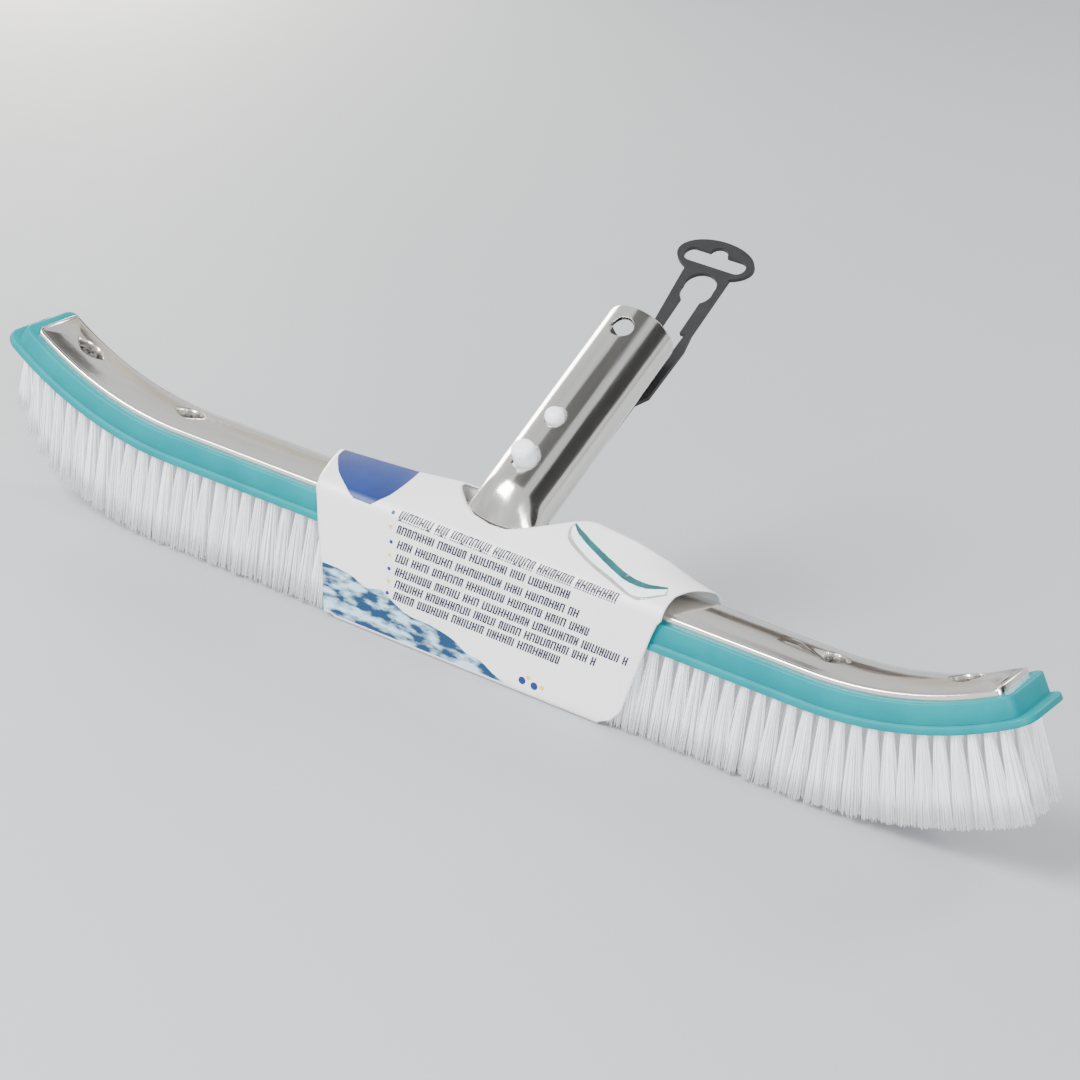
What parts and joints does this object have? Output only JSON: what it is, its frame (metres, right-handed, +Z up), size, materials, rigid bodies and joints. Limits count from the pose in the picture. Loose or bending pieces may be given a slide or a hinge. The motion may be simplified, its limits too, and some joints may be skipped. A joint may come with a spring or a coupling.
{
  "type": "pool wall brush",
  "caption": "Curved pool wall brush: plastic back with white bristles, aluminium stiffening bar, tilted pole socket with spring clip, hanger strap and printed card sleeve.",
  "frame": {"origin": "middle of the card sleeve's underside, the plane the brush stands on", "axes": "+X along the brush, +Y away from the front towards the leaning pole socket, +Z up from the bristles to the back"},
  "size_m": [0.4698, 0.1776, 0.1324],
  "materials": {
    "turquoise_plastic": "semi-gloss moulded",
    "polished_aluminium": "polished, faint drawing lines",
    "screw_steel": "bright plated",
    "white_plastic": "smooth moulded",
    "black_plastic": "fine grained",
    "printed_card": null,
    "white_bristle": "straight nylon filaments"
  },
  "bodies": {
    "brush": {"brush_body": "turquoise_plastic", "aluminium_bar": "polished_aluminium", "bar_screws": "screw_steel", "handle_socket": "polished_aluminium", "foot_plate": "polished_aluminium", "handle_screws": "screw_steel", "clip_bend": "white_plastic", "card_sleeve": "printed_card", "tufts_a_left": "white_bristle", "tufts_a_middle": "white_bristle", "tufts_a_right": "white_bristle", "tufts_b_left": "white_bristle", "tufts_b_middle": "white_bristle", "tufts_b_right": "white_bristle", "tufts_c_left": "white_bristle", "tufts_c_middle": "white_bristle", "tufts_c_right": "white_bristle", "tufts_d_left": "white_bristle", "tufts_d_middle": "white_bristle", "tufts_d_right": "white_bristle", "tufts_e_left": "white_bristle", "tufts_e_middle": "white_bristle", "tufts_e_right": "white_bristle"},
    "clip_front": {"clip_arm_front": "white_plastic"},
    "clip_rear": {"clip_arm_rear": "white_plastic"},
    "hanger": {"hanger_strap": "black_plastic"}
  },
  "joints": [
    {"name": "front_clip_squeeze", "type": "hinge", "parent": "brush", "child": "clip_front", "pos_m": [0, 0.06668, 0.0983], "axis": [1, 0, 0], "range_deg": [0, 6.5], "stiffness_Nm_per_rad": 6.5},
    {"name": "rear_clip_squeeze", "type": "hinge", "parent": "brush", "child": "clip_rear", "pos_m": [0, 0.07139, 0.09064], "axis": [-1, 0, 0], "range_deg": [0, 6.5], "stiffness_Nm_per_rad": 6.5},
    {"name": "hanger_swing", "type": "hinge", "parent": "brush", "child": "hanger", "pos_m": [0, 0.05044, 0.06401], "axis": [0, -0.524, 0.8517], "range_deg": [-95, 95]}
  ]
}
